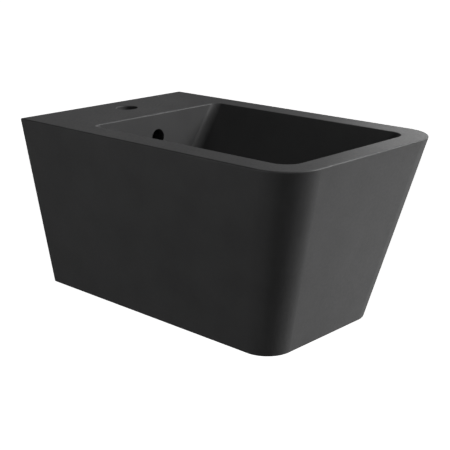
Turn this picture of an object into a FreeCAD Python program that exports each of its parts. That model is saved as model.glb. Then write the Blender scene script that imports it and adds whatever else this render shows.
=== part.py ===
import FreeCAD
import Part
import math
import os
from types import SimpleNamespace

import Sketcher
from FreeCAD import Placement, Rotation, Vector

# Wall-hung bidet with push waste, bottle trap and wall fixing.
# Origin: on the wall, midway between the two fixing studs. +X right, -Y out of the wall, +Z up.

# Driving sizes in millimetres
DRIVING_SIZES = {
    # Ceramic body, outside
    "rim_width": 350.0,
    "rim_length": 550.0,
    "body_height": 285.0,
    "base_width": 249.0,
    "base_length": 476.0,
    "rim_corner_radius": 59.0,
    "base_corner_radius": 42.0,
    "outer_edge_radius": 2.0,
    "rim_above_studs": 80.0,
    # Ceramic body, walls and service opening
    "outer_wall": 11.0,
    "deck_thickness": 14.0,
    "base_plate": 11.0,
    "back_panel": 14.0,
    "cavity_corner_radius": 14.0,
    "service_width": 172.0,
    "service_length": 340.0,
    "service_corner_radius": 18.0,
    "window_below_studs": 48.0,
    # Bowl
    "side_rim": 39.0,
    "front_rim": 37.5,
    "deck_depth": 128.0,
    "bowl_depth": 104.0,
    "bowl_wall": 11.0,
    "bowl_front_draw": 42.0,
    "bowl_rear_draw": 1.0,
    "bowl_rear_corner": 14.0,
    "bowl_front_corner": 27.0,
    "floor_width": 124.0,
    "floor_rear_corner": 18.0,
    "floor_front_corner": 40.0,
    "bowl_floor_radius": 12.0,
    "rim_edge_radius": 2.2,
    "dish_from_wall": 15.2,
    "dish_edge_radius": 12.0,
    "dish_slope": 0.5,
    # Tap hole and overflow
    "tap_hole_diameter": 35.0,
    "tap_hole_from_wall": 54.0,
    "tap_edge_radius": 1.5,
    "overflow_diameter": 26.0,
    "overflow_below_rim": 38.5,
    "duct_width": 28.0,
    "duct_gap": 13.0,
    "duct_wall": 9.0,
    "duct_below_seat": 11.0,
    # Waste outlet in the ceramic
    "waste_from_wall": 265.0,
    "waste_hole_diameter": 46.0,
    "waste_seat_diameter": 68.0,
    "waste_seat_recess": 1.6,
    "waste_boss_diameter": 76.0,
    # Waste
    "waste_thread_diameter": 41.8,
    "waste_bore_diameter": 35.6,
    "waste_flange_diameter": 64.0,
    "waste_flange_thickness": 3.0,
    "waste_flange_bevel": 1.0,
    "flange_gasket_thickness": 2.0,
    "overflow_slot_width": 12.0,
    "cone_gasket_thickness": 6.0,
    "cone_gasket_nose": 4.0,
    "cone_gasket_diameter": 60.0,
    "cone_gasket_taper": 3.0,
    "slip_washer_thickness": 2.0,
    "backnut_height": 8.0,
    "backnut_across_flats": 52.0,
    "thread_clearance": 0.1,
    "slide_clearance": 0.3,
    # Push plug and its cartridge
    "plug_travel": 9.0,
    "plug_diameter": 63.0,
    "plug_edge_height": 3.0,
    "plug_crown": 4.0,
    "plug_lip_width": 2.5,
    "plug_lip_depth": 0.8,
    "plug_seal_thickness": 1.8,
    "plug_seal_width": 5.0,
    "plug_hub_diameter": 13.0,
    "plug_hub_depth": 11.0,
    "plunger_screw_length": 9.0,
    "plunger_diameter": 8.0,
    "plunger_collar_thickness": 3.0,
    "plunger_head_thickness": 3.0,
    "cartridge_below_seat": 28.0,
    "cartridge_diameter": 14.0,
    "cartridge_bore_diameter": 11.6,
    "cartridge_flange_diameter": 19.0,
    "cartridge_flange_thickness": 3.0,
    "cartridge_end_play": 1.0,
    "cartridge_floor": 2.0,
    "spring_wire": 1.0,
    "spring_diameter": 8.6,
    "spring_closed_length": 13.0,
    "spring_turns": 5.0,
    "spider_thickness": 6.0,
    "spider_hub_diameter": 22.0,
    "spider_arm_width": 4.0,
    # Bottle trap
    "nut_gap": 2.0,
    "coupling_engagement": 14.0,
    "coupling_lip": 3.0,
    "coupling_across_flats": 50.0,
    "inlet_washer_thickness": 3.0,
    "dip_collar_thickness": 3.0,
    "trap_tube_diameter": 32.0,
    "trap_tube_wall": 1.2,
    "dip_tube_length": 84.0,
    "trap_body_gap": 3.0,
    "trap_body_diameter": 65.0,
    "trap_body_height": 41.0,
    "trap_body_wall": 3.0,
    "trap_neck_height": 10.0,
    "trap_neck_seal_wire": 2.0,
    "trap_thread_length": 14.0,
    "cup_height": 47.0,
    "cup_wall": 3.0,
    "cup_floor": 4.0,
    "cup_edge_radius": 6.0,
    "cup_seal_thickness": 2.0,
    "outlet_below_body_top": 20.5,
    "branch_diameter": 38.0,
    "branch_length": 56.0,
    "branch_socket_depth": 22.0,
    "outlet_seal_length": 5.0,
    "outlet_nut_lip": 3.0,
    "outlet_nut_across_flats": 46.0,
    "outlet_nut_engagement": 14.0,
    "outlet_past_wall": 50.0,
    "outlet_stop_bead_width": 4.0,
    "outlet_stop_bead_height": 1.5,
    "outlet_stop_from_wall": 8.0,
    # Wall fixing
    "stud_spacing": 180.0,
    "stud_diameter": 12.0,
    "stud_wall_diameter": 10.0,
    "stud_wall_length": 70.0,
    "stud_point_length": 8.0,
    "stud_end_chamfer": 1.0,
    "stud_past_nut": 7.0,
    "stud_lug_depth": 34.0,
    "stud_lug_width": 46.0,
    "stud_lug_below": 24.0,
    "stud_lug_radius": 18.0,
    "stud_hole_diameter": 22.0,
    "stud_washer_diameter": 30.0,
    "stud_sleeve_collar": 3.0,
    "stud_rubber_thickness": 3.0,
    "stud_steel_thickness": 2.5,
    "stud_nut_across_flats": 19.0,
    "stud_nut_height": 10.0,
}

NUT_CHAMFER_SLOPE = math.tan(math.radians(30.0))
SQUARE_TO_CORNER = 1.0 / math.sqrt(3.0)
FULL_TURN = 360.0
ZERO_LENGTH = 1e-9
ON_PLANE = 1e-4


class Size:
    """A length: its value now and the sheet expression that drives it."""

    def __init__(self, value, text):
        self.value = value
        self.text = text

    def __add__(self, other):
        other = as_size(other)
        return Size(self.value + other.value, f"({self.text} + {other.text})")

    def __sub__(self, other):
        other = as_size(other)
        return Size(self.value - other.value, f"({self.text} - {other.text})")

    def __mul__(self, other):
        other = as_size(other)
        return Size(self.value * other.value, f"({self.text} * {other.text})")

    def __truediv__(self, other):
        other = as_size(other)
        return Size(self.value / other.value, f"({self.text} / {other.text})")

    def __neg__(self):
        return Size(-self.value, f"(0 - {self.text})")


def as_size(number):
    """Accept a plain factor wherever a size is expected."""
    return number if isinstance(number, Size) else Size(number, repr(number))


doc = FreeCAD.newDocument("bidet")
sheet = doc.addObject("Spreadsheet::Sheet", "sizes")
for row, (alias, value) in enumerate(DRIVING_SIZES.items(), start=1):
    sheet.set(f"A{row}", alias)
    sheet.set(f"B{row}", str(value))
    sheet.setAlias(f"B{row}", alias)
doc.recompute()

d = SimpleNamespace(**{alias: Size(value, f"sizes.{alias}") for alias, value in DRIVING_SIZES.items()})
NOTHING = Size(0.0, "0")
pieces = {}


# Sketch helpers

def bind(item, name, size):
    """Give a property its value and tie it to the sheet."""
    setattr(item, name, size.value)
    item.setExpression(name, size.text)


def new_body(label, x=NOTHING, y=NOTHING, z=NOTHING, along="Z"):
    """Start a piece whose own Z axis points along the row's Z or Y axis."""
    body = doc.addObject("PartDesign::Body", label)
    body.Label = label
    turn = Rotation(Vector(1, 0, 0), -90) if along == "Y" else Rotation()
    body.Placement = Placement(Vector(x.value, y.value, z.value), turn)
    for letter, size in (("x", x), ("y", y), ("z", z)):
        if size is not NOTHING:
            body.setExpression(f"Placement.Base.{letter}", size.text)
    pieces[label] = body
    return body


def new_sketch(body, name, plane, offset=None):
    """A sketch on one of the body's origin planes, moved along the plane's normal."""
    sketch = body.newObject("Sketcher::SketchObject", name)
    support = next(item for item in body.Origin.OriginFeatures if item.Role == plane)
    sketch.AttachmentSupport = [(support, "")]
    sketch.MapMode = "FlatFace"
    if offset is not None:
        sketch.AttachmentOffset = Placement(Vector(0, 0, offset.value), Rotation())
        sketch.setExpression("AttachmentOffset.Base.z", offset.text)
    return sketch


def constrain(sketch, size, kind, *places):
    """Add a driving dimension and tie it to the sheet."""
    index = sketch.addConstraint(Sketcher.Constraint(kind, *places, size.value))
    sketch.setExpression(f"Constraints[{index}]", size.text)


def pin(sketch, kind, geometry, point, size):
    """Hold one coordinate of a sketch point at a signed distance from the sketch origin."""
    if abs(size.value) < ZERO_LENGTH:
        axis = -2 if kind == "DistanceX" else -1
        sketch.addConstraint(Sketcher.Constraint("PointOnObject", geometry, point, axis))
    elif size.value > 0:
        constrain(sketch, size, kind, -1, 1, geometry, point)
    else:
        constrain(sketch, -size, kind, geometry, point, -1, 1)


def pin_point(sketch, geometry, point, corner):
    """Hold a sketch point at a corner given by two sizes."""
    pin(sketch, "DistanceX", geometry, point, corner[0])
    pin(sketch, "DistanceY", geometry, point, corner[1])


def straight_lines(sketch, corners):
    """Lines from corner to corner, joined and pinned; returns the index of the last line."""
    spots = [Vector(x.value, y.value, 0) for x, y in corners]
    line = sketch.GeometryCount - 1
    for index, (start, end) in enumerate(zip(spots, spots[1:])):
        line = sketch.addGeometry(Part.LineSegment(start, end), False)
        pin_point(sketch, line, 1, corners[index])
        if index:
            sketch.addConstraint(Sketcher.Constraint("Coincident", line - 1, 2, line, 1))
    return line


def polygon(sketch, corners):
    """A closed straight-sided outline through pairs of sizes."""
    first = sketch.GeometryCount
    last = straight_lines(sketch, [*corners, corners[0]])
    sketch.addConstraint(Sketcher.Constraint("Coincident", last, 2, first, 1))


def circle(sketch, x, y, diameter):
    """A full circle at a place given by two sizes."""
    centre = Vector(x.value, y.value, 0)
    index = sketch.addGeometry(Part.Circle(centre, Vector(0, 0, 1), diameter.value / 2), False)
    constrain(sketch, diameter, "Diameter", index)
    pin_point(sketch, index, 3, (x, y))


def rounded_box(sketch, left, right, low, high, low_radius=None, high_radius=None):
    """An upright rectangle whose low and high corners may be rounded."""
    radii = (low_radius, high_radius, high_radius, low_radius)
    corners = ((right, low), (right, high), (left, high), (left, low))
    inward = ((-1, 1), (-1, -1), (1, -1), (1, 1))
    entries, exits, arcs = [], [], []
    for index, (radius, (x, y), (in_x, in_y)) in enumerate(zip(radii, corners, inward)):
        corner = Vector(x.value, y.value, 0)
        if radius is None:
            entries.append(corner)
            exits.append(corner)
            arcs.append(None)
            continue
        centre = corner + Vector(in_x, in_y, 0) * radius.value
        start = math.radians(90.0 * index - 90.0)
        round_edge = Part.Circle(centre, Vector(0, 0, 1), radius.value)
        arcs.append(Part.ArcOfCircle(round_edge, start, start + math.pi / 2))
        entries.append(arcs[-1].StartPoint)
        exits.append(arcs[-1].EndPoint)
    chain = []
    for index, (radius, arc) in enumerate(zip(radii, arcs)):
        line = Part.LineSegment(exits[index - 1], entries[index])
        chain.append(("line", sketch.addGeometry(line, False), None))
        if arc is not None:
            chain.append(("arc", sketch.addGeometry(arc, False), radius))
    for index, (kind, geometry, radius) in enumerate(chain):
        next_kind, following, _ = chain[(index + 1) % len(chain)]
        joint = "Coincident" if kind == next_kind else "Tangent"
        sketch.addConstraint(Sketcher.Constraint(joint, geometry, 2, following, 1))
        if kind == "arc":
            constrain(sketch, radius, "Radius", geometry)
    sides = [geometry for kind, geometry, _ in chain if kind == "line"]
    rules = (("Horizontal", "DistanceY", low), ("Vertical", "DistanceX", right),
             ("Horizontal", "DistanceY", high), ("Vertical", "DistanceX", left))
    for geometry, (direction, distance, size) in zip(sides, rules):
        sketch.addConstraint(Sketcher.Constraint(direction, geometry))
        pin(sketch, distance, geometry, 1, size)


# Feature helpers

def feature(body, kind, name, sketch):
    """Add a sketch-based feature to a body."""
    item = body.newObject(f"PartDesign::{kind}", name)
    item.Profile = sketch
    return item


def extrude(body, kind, name, sketch, length, symmetric=False, reverse=False):
    """A pad or pocket of a given length."""
    item = feature(body, kind, name, sketch)
    bind(item, "Length", length)
    item.Midplane = symmetric
    item.Reversed = reverse
    doc.recompute()
    return item


def revolve(body, kind, name, sketch):
    """A full turn of a sketch about its own vertical axis."""
    item = feature(body, kind, name, sketch)
    item.ReferenceAxis = (sketch, ["V_Axis"])
    item.Angle = FULL_TURN
    doc.recompute()
    return item


def loft(body, kind, name, sections):
    """Straight-sided walls from the first section to the last."""
    item = feature(body, kind, name, sections[0])
    item.Sections = sections[1:]
    item.Ruled = True
    doc.recompute()
    return item


def edges_where(shape, test):
    """Names of the edges whose ends and middle all pass a test."""
    names = []
    for number, edge in enumerate(shape.Edges, start=1):
        middle = edge.valueAt((edge.FirstParameter + edge.LastParameter) / 2)
        if all(test(point) for point in [vertex.Point for vertex in edge.Vertexes] + [middle]):
            names.append(f"Edge{number}")
    return names


def fillet(body, name, base, test, radius):
    """Round the edges of the last feature that pass a test."""
    item = body.newObject("PartDesign::Fillet", name)
    item.Base = (base, edges_where(base.Shape, test))
    bind(item, "Radius", radius)
    doc.recompute()
    return item


def turned(label, corners, **place):
    """A piece turned about its own Z axis from corners of radius and height."""
    body = new_body(label, **place)
    sketch = new_sketch(body, f"{label}_profile", "XZ_Plane")
    polygon(sketch, corners)
    revolve(body, "Revolution", f"{label}_turn", sketch)
    return body


def ring(label, inner, outer, low, high, **place):
    """A flat ring between two radii and two heights."""
    return turned(label, [(inner, low), (outer, low), (outer, high), (inner, high)], **place)


def hexagon_nut(label, across_flats, low, high, bore_steps, **place):
    """A chamfered hexagon nut with a stepped bore of (diameter, from height, to height)."""
    body = new_body(label, **place)
    flat = across_flats / 2
    point = across_flats * SQUARE_TO_CORNER
    outline = new_sketch(body, f"{label}_hexagon", "XY_Plane", low)
    polygon(outline, [(flat, -point / 2), (flat, point / 2), (NOTHING, point),
                      (-flat, point / 2), (-flat, -point / 2), (NOTHING, -point)])
    extrude(body, "Pad", f"{label}_block", outline, high - low)
    chamfer = (point - flat) * NUT_CHAMFER_SLOPE
    cut = new_sketch(body, f"{label}_chamfers", "XZ_Plane")
    beyond = point + chamfer
    polygon(cut, [(flat, high), (beyond, high - (beyond - flat) * NUT_CHAMFER_SLOPE), (beyond, high)])
    polygon(cut, [(flat, low), (beyond, low), (beyond, low + (beyond - flat) * NUT_CHAMFER_SLOPE)])
    revolve(body, "Groove", f"{label}_chamfer", cut)
    for number, (diameter, start, end) in enumerate(bore_steps, start=1):
        hole = new_sketch(body, f"{label}_bore_{number}", "XY_Plane", end)
        circle(hole, NOTHING, NOTHING, diameter)
        extrude(body, "Pocket", f"{label}_bored_{number}", hole, end - start)
    return body


def pair(label, half):
    """A mirrored pair of one stud's pieces, left and right of the middle."""
    del pieces[half.Label]
    half.Label = f"{label}_right"
    other = doc.addObject("Part::Mirroring", f"{label}_left")
    other.Source = half
    other.Normal = Vector(1, 0, 0)
    both = doc.addObject("Part::Compound", label)
    both.Label = label
    both.Links = [half, other]
    pieces[label] = both
    doc.recompute()


# Heights and places that several pieces share

rim_z = d.rim_above_studs
base_z = rim_z - d.body_height
deck_under_z = rim_z - d.deck_thickness
floor_z = rim_z - d.bowl_depth
bowl_half_width = d.rim_width / 2 - d.side_rim
bowl_side_draw = bowl_half_width - d.floor_width / 2
dish_radius = d.floor_width / 2 - d.dish_from_wall
dish_drop = (dish_radius - d.waste_seat_diameter / 2) * d.dish_slope
seat_z = floor_z - dish_drop - d.waste_seat_recess
waste_y = -d.waste_from_wall
neck_length = d.duct_below_seat + d.duct_gap + d.duct_wall
half_spacing = d.stud_spacing / 2


def at_depth(top, base, depth):
    """An outside size at a depth below the rim, along the straight taper."""
    return top + (base - top) * depth / d.body_height


# Ceramic body: one fired piece

def outside_section(body, name, width, length, corner, height):
    sketch = new_sketch(body, name, "XY_Plane", height)
    rounded_box(sketch, -width / 2, width / 2, -length, d.back_panel, low_radius=corner)
    return sketch


def cavity_section(body, name, depth):
    sketch = new_sketch(body, name, "XY_Plane", rim_z - depth)
    half_width = at_depth(d.rim_width, d.base_width, depth) / 2 - d.outer_wall
    front = d.outer_wall - at_depth(d.rim_length, d.base_length, depth)
    corner = at_depth(d.rim_corner_radius, d.base_corner_radius, depth) - d.outer_wall
    rounded_box(sketch, -half_width, half_width, front, -d.back_panel,
                low_radius=corner, high_radius=d.cavity_corner_radius)
    return sketch


def bowl_section(body, name, depth, grow):
    """The bowl's outline at a depth, grown outward by a wall."""
    share = depth / d.bowl_depth
    half_width = bowl_half_width - bowl_side_draw * share + grow
    rear = grow - d.deck_depth - d.bowl_rear_draw * share
    front = d.front_rim - d.rim_length + d.bowl_front_draw * share - grow
    rear_corner = d.bowl_rear_corner + (d.floor_rear_corner - d.bowl_rear_corner) * share + grow
    front_corner = d.bowl_front_corner + (d.floor_front_corner - d.bowl_front_corner) * share + grow
    sketch = new_sketch(body, name, "XY_Plane", rim_z - depth)
    rounded_box(sketch, -half_width, half_width, front, rear,
                low_radius=front_corner, high_radius=rear_corner)
    return sketch


def level(z):
    """A test for points on one horizontal plane."""
    return lambda point: abs(point.z - z.value) < ON_PLANE


def bowl_form():
    """The space that the bowl, the waste seat and the waste hole take out of the ceramic."""
    body = doc.addObject("PartDesign::Body", "bowl_form")
    walls = loft(body, "AdditiveLoft", "bowl_walls",
                 [bowl_section(body, "bowl_rim", NOTHING, NOTHING),
                  bowl_section(body, "bowl_floor", d.bowl_depth, NOTHING)])
    fillet(body, "bowl_floor_round", walls, level(floor_z), d.bowl_floor_radius)
    dish = new_sketch(body, "waste_dish_profile", "XZ_Plane", d.waste_from_wall)
    seat = d.waste_seat_diameter / 2
    hole = d.waste_hole_diameter / 2
    above = floor_z + dish_drop
    low = seat_z - neck_length
    polygon(dish, [(NOTHING, above), (dish_radius, above), (dish_radius, floor_z),
                   (seat, floor_z - dish_drop), (seat, seat_z), (hole, seat_z), (hole, low), (NOTHING, low)])
    dished = revolve(body, "Revolution", "waste_dish", dish)
    reach = dish_radius.value + ON_PLANE

    def on_dish_edge(point):
        return level(floor_z)(point) and math.hypot(point.x, point.y - waste_y.value) < reach

    fillet(body, "waste_dish_edge", dished, on_dish_edge, d.dish_edge_radius)
    return body


def ceramic_body():
    body = new_body("ceramic_body")

    # Tapered outside, ground flat at the wall, with soft edges
    top = outside_section(body, "rim_outline", d.rim_width, d.rim_length, d.rim_corner_radius, rim_z)
    base = outside_section(body, "base_outline", d.base_width, d.base_length, d.base_corner_radius, base_z)
    loft(body, "AdditiveLoft", "outside", [top, base])
    wall_side = new_sketch(body, "wall_side_outline", "XZ_Plane", -d.back_panel)
    rounded_box(wall_side, -d.rim_width, d.rim_width, base_z - d.base_plate, rim_z + d.deck_thickness)
    ground = extrude(body, "Pocket", "wall_face", wall_side, d.back_panel, reverse=True)

    def on_outer_edge(point):
        return level(rim_z)(point) or level(base_z)(point)

    def on_rear_corner(point):
        return abs(point.y) < ON_PLANE

    fillet(body, "outer_edges", ground,
           lambda point: on_outer_edge(point) or on_rear_corner(point), d.outer_edge_radius)

    # Hollow inside, closed by the deck above and the base plate below
    loft(body, "SubtractiveLoft", "cavity",
         [cavity_section(body, "cavity_top", d.deck_thickness),
          cavity_section(body, "cavity_bottom", d.body_height - d.base_plate)])

    # Bowl shell hanging from the deck
    shell_top = d.deck_thickness / 2
    shell_floor = d.bowl_depth + d.bowl_wall
    bowl_shell = loft(body, "AdditiveLoft", "bowl_shell",
                      [bowl_section(body, "bowl_shell_top", shell_top, d.bowl_wall),
                       bowl_section(body, "bowl_shell_floor", shell_floor, d.bowl_wall)])
    fillet(body, "bowl_shell_round", bowl_shell, level(rim_z - shell_floor), d.bowl_floor_radius + d.bowl_wall)

    # Overflow duct block behind and under the bowl
    duct_rear = d.bowl_wall + d.duct_gap - d.deck_depth
    neck_z = seat_z - neck_length
    block = new_sketch(body, "duct_block_outline", "YZ_Plane")
    block_rear = duct_rear + d.duct_wall
    polygon(block, [(block_rear, deck_under_z), (-d.deck_depth, deck_under_z), (-d.deck_depth, floor_z),
                    (waste_y, floor_z), (waste_y, neck_z), (block_rear, neck_z)])
    extrude(body, "Pad", "duct_block", block, d.duct_width + d.duct_wall * 2, symmetric=True)

    # Boss round the waste hole
    boss = new_sketch(body, "waste_boss_outline", "XY_Plane", neck_z)
    circle(boss, NOTHING, waste_y, d.waste_boss_diameter)
    extrude(body, "Pad", "waste_boss", boss, floor_z - neck_z)

    # Lugs for the wall studs
    lugs = new_sketch(body, "stud_lug_outlines", "XZ_Plane", d.back_panel / 2)
    for side in (-1, 1):
        middle = half_spacing * side
        rounded_box(lugs, middle - d.stud_lug_width / 2, middle + d.stud_lug_width / 2,
                    -d.stud_lug_below, deck_under_z, low_radius=d.stud_lug_radius)
    extrude(body, "Pad", "stud_lugs", lugs, d.stud_lug_depth - d.back_panel / 2)

    # Bowl, waste seat and waste hole
    bowl = body.newObject("PartDesign::Boolean", "bowl")
    bowl.Type = "Cut"
    bowl.setObjects([bowl_form()])
    doc.recompute()

    # Tap hole through the deck
    tap = new_sketch(body, "tap_hole_outline", "XY_Plane", rim_z)
    circle(tap, NOTHING, -d.tap_hole_from_wall, d.tap_hole_diameter)
    extrude(body, "Pocket", "tap_hole", tap, d.deck_thickness)

    # Overflow hole and the duct that leads it down to the waste
    overflow = new_sketch(body, "overflow_outline", "XZ_Plane", d.deck_depth + d.bowl_rear_draw)
    circle(overflow, NOTHING, rim_z - d.overflow_below_rim, d.overflow_diameter)
    extrude(body, "Pocket", "overflow_hole", overflow, d.bowl_rear_draw + d.bowl_wall + d.duct_gap / 2)
    duct_top = rim_z - d.overflow_below_rim + d.overflow_diameter / 2
    duct_front = d.bowl_wall - d.deck_depth
    channel_top = seat_z - d.duct_below_seat
    channel_low = channel_top - d.duct_gap
    duct = new_sketch(body, "duct_outline", "YZ_Plane")
    polygon(duct, [(duct_rear, duct_top), (duct_front, duct_top), (duct_front, channel_top),
                   (waste_y, channel_top), (waste_y, channel_low), (duct_rear, channel_low)])
    extrude(body, "Pocket", "duct", duct, d.duct_width, symmetric=True)

    # Stud holes through panel and lugs
    holes = new_sketch(body, "stud_hole_outlines", "XZ_Plane", d.stud_lug_depth)
    for side in (-1, 1):
        circle(holes, half_spacing * side, NOTHING, d.stud_hole_diameter)
    extrude(body, "Pocket", "stud_holes", holes, d.stud_lug_depth)

    # Service opening through the base plate and the back panel
    half_service = d.service_width / 2
    under = new_sketch(body, "base_opening_outline", "XY_Plane", base_z)
    rounded_box(under, -half_service, half_service, -d.service_length, d.back_panel,
                low_radius=d.service_corner_radius)
    extrude(body, "Pocket", "base_opening", under, d.base_plate, reverse=True)
    window = new_sketch(body, "back_window_outline", "XZ_Plane", d.back_panel)
    rounded_box(window, -half_service, half_service, base_z - d.base_plate, -d.window_below_studs,
                high_radius=d.service_corner_radius)
    back_window = extrude(body, "Pocket", "back_window", window, d.back_panel)

    # Soft edges of the bowl's rim and of the tap hole
    bowl_side = bowl_half_width.value + ON_PLANE
    bowl_front = (d.front_rim - d.rim_length).value - ON_PLANE
    bowl_rear = ON_PLANE - d.deck_depth.value

    def on_bowl_rim(point):
        inside = abs(point.x) < bowl_side and bowl_front < point.y < bowl_rear
        return inside and level(rim_z)(point)

    def on_tap_rim(point):
        reach = math.hypot(point.x, point.y + d.tap_hole_from_wall.value)
        return level(rim_z)(point) and reach < d.tap_hole_diameter.value / 2 + ON_PLANE

    rim = fillet(body, "bowl_rim_edge", back_window, on_bowl_rim, d.rim_edge_radius)
    fillet(body, "tap_hole_edge", rim, on_tap_rim, d.tap_edge_radius)
    return body


# Waste: every piece is turned about the waste axis, with its own zero on the ceramic seat

def at_waste():
    """Where the waste's pieces have their origin."""
    return {"y": waste_y, "z": seat_z}


waste_radius = d.waste_thread_diameter / 2
waste_bore = d.waste_bore_diameter / 2
flange_low = d.flange_gasket_thickness
flange_top = flange_low + d.waste_flange_thickness
nut_bore = d.waste_thread_diameter + d.thread_clearance * 2
cone_low = -neck_length - d.cone_gasket_thickness
slip_low = cone_low - d.slip_washer_thickness
backnut_low = slip_low - d.backnut_height
coupling_top = backnut_low - d.nut_gap
tail_end = coupling_top - d.coupling_engagement
spider_top = -d.cartridge_below_seat
spider_low = spider_top - d.spider_thickness


def waste_body():
    body = new_body("waste_body", **at_waste())
    outer = d.waste_flange_diameter / 2
    profile = new_sketch(body, "waste_profile", "XZ_Plane")
    throat = waste_bore + d.waste_flange_thickness
    polygon(profile, [(waste_bore, tail_end), (waste_radius, tail_end), (waste_radius, flange_low),
                      (outer, flange_low), (outer, flange_top - d.waste_flange_bevel),
                      (outer - d.waste_flange_bevel, flange_top), (throat, flange_top),
                      (waste_bore, flange_low)])
    revolve(body, "Revolution", "waste_turn", profile)

    # Cross that carries the plug's cartridge
    reach = waste_bore + (waste_radius - waste_bore) / 2
    half_arm = d.spider_arm_width / 2
    for name, half_x, half_y in (("arms_across", reach, half_arm), ("arms_along", half_arm, reach)):
        bar = new_sketch(body, f"{name}_outline", "XY_Plane", spider_low)
        rounded_box(bar, -half_x, half_x, -half_y, half_y)
        extrude(body, "Pad", name, bar, d.spider_thickness)
    hub = new_sketch(body, "hub_outline", "XY_Plane", spider_low)
    circle(hub, NOTHING, NOTHING, d.spider_hub_diameter)
    extrude(body, "Pad", "hub", hub, d.spider_thickness)
    socket = new_sketch(body, "hub_bore_outline", "XY_Plane", spider_top)
    circle(socket, NOTHING, NOTHING, d.cartridge_diameter + d.thread_clearance * 2)
    extrude(body, "Pocket", "hub_bore", socket, d.spider_thickness)

    # Overflow slots level with the ceramic duct
    slot_top = -d.duct_below_seat
    half_slot = d.overflow_slot_width / 2
    for plane in ("XZ_Plane", "YZ_Plane"):
        slot = new_sketch(body, f"slot_{plane[:2]}_outline", plane)
        rounded_box(slot, -half_slot, half_slot, slot_top - d.duct_gap, slot_top,
                    low_radius=half_slot / 2, high_radius=half_slot / 2)
        extrude(body, "Pocket", f"slot_{plane[:2]}", slot, d.waste_flange_diameter, symmetric=True)


def waste_clamp():
    """Seals and nut that hold the waste in the ceramic."""
    bore = nut_bore / 2
    ring("flange_gasket", bore, d.waste_flange_diameter / 2, NOTHING, flange_low, **at_waste())
    outer = d.cone_gasket_diameter / 2
    nose = d.waste_hole_diameter / 2 - d.slide_clearance
    turned("cone_gasket", [(bore, cone_low), (outer - d.cone_gasket_taper, cone_low), (outer, -neck_length),
                           (nose, -neck_length), (bore + d.slide_clearance, d.cone_gasket_nose - neck_length),
                           (bore, d.cone_gasket_nose - neck_length)], **at_waste())
    ring("slip_washer", bore, outer - d.cone_gasket_taper, slip_low, cone_low, **at_waste())
    hexagon_nut("waste_backnut", d.backnut_across_flats, backnut_low, slip_low,
                [(nut_bore, backnut_low, slip_low)], **at_waste())


# Push plug: shown shut, resting on the flange

plug_low = flange_top + d.plug_seal_thickness
hub_low = plug_low - d.plug_hub_depth
screw_top = hub_low + d.plunger_screw_length
collar_low = hub_low - d.plunger_collar_thickness
sleeve_top = spider_top + d.cartridge_flange_thickness
head_top = spider_top - d.cartridge_end_play - d.plug_travel
head_low = head_top - d.plunger_head_thickness
spring_low = head_low - d.spring_closed_length
screw_radius = d.plunger_diameter / 2


def waste_plug():
    body = new_body("waste_plug", **at_waste())
    outer = d.plug_diameter / 2
    lip = outer - d.plug_lip_width
    edge = plug_low + d.plug_edge_height
    crown = edge + d.plug_crown
    hub = d.plug_hub_diameter / 2
    bore = screw_radius + d.thread_clearance
    profile = new_sketch(body, "plug_profile", "XZ_Plane")
    lip_low = plug_low - d.plug_lip_depth
    corners = [(NOTHING, crown), (NOTHING, screw_top), (bore, screw_top), (bore, hub_low), (hub, hub_low),
               (hub, plug_low), (lip, plug_low), (lip, lip_low), (outer, lip_low), (outer, edge)]
    last = straight_lines(profile, corners)
    pin_point(profile, last, 2, (outer, edge))

    # Crown of the cap, one arc from the edge to the middle
    rise = d.plug_crown
    radius = (outer * outer + rise * rise) / (rise * 2)
    centre = Vector(0, (crown - radius).value, 0)
    start = math.atan2((edge - crown + radius).value, outer.value)
    dome = Part.ArcOfCircle(Part.Circle(centre, Vector(0, 0, 1), radius.value), start, math.pi / 2)
    arc = profile.addGeometry(dome, False)
    profile.addConstraint(Sketcher.Constraint("Coincident", arc, 1, last, 2))
    profile.addConstraint(Sketcher.Constraint("Coincident", arc, 2, 0, 1))
    profile.addConstraint(Sketcher.Constraint("PointOnObject", arc, 3, -2))
    revolve(body, "Revolution", "plug_turn", profile)


def plug_cartridge():
    """Seal, plunger, spring and sleeve under the plug."""
    seal_outer = d.plug_diameter / 2 - d.plug_lip_width - d.slide_clearance
    ring("plug_seal", seal_outer - d.plug_seal_width, seal_outer, flange_top, plug_low, **at_waste())
    hub = d.plug_hub_diameter / 2
    head = d.cartridge_bore_diameter / 2 - d.slide_clearance
    turned("plunger", [(NOTHING, screw_top), (screw_radius, screw_top), (screw_radius, hub_low),
                       (hub, hub_low), (hub, collar_low), (screw_radius, collar_low),
                       (screw_radius, head_top), (head, head_top), (head, head_low), (NOTHING, head_low)],
           **at_waste())
    bore = d.cartridge_bore_diameter / 2
    outer = d.cartridge_diameter / 2
    flange = d.cartridge_flange_diameter / 2
    neck = screw_radius + d.slide_clearance
    floor = spring_low - d.cartridge_floor
    turned("cartridge_sleeve", [(NOTHING, floor), (outer, floor), (outer, spider_top),
                                (flange, spider_top), (flange, sleeve_top), (neck, sleeve_top),
                                (neck, spider_top), (bore, spider_top), (bore, spring_low),
                                (NOTHING, spring_low)], **at_waste())
    spring()


def spring():
    """Round wire wound in an open helix between the sleeve's floor and the plunger."""
    body = new_body("plunger_spring", **at_waste())
    wire = new_sketch(body, "spring_wire_outline", "XZ_Plane")
    winding = d.spring_diameter / 2 - d.spring_wire / 2
    circle(wire, winding, spring_low + d.spring_wire / 2, d.spring_wire)
    coil = feature(body, "AdditiveHelix", "spring_coil", wire)
    coil.ReferenceAxis = (wire, ["V_Axis"])
    coil.Mode = "pitch-height-angle"
    height = d.spring_closed_length - d.spring_wire
    bind(coil, "Pitch", height / d.spring_turns)
    bind(coil, "Height", height)
    doc.recompute()


# Bottle trap

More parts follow.
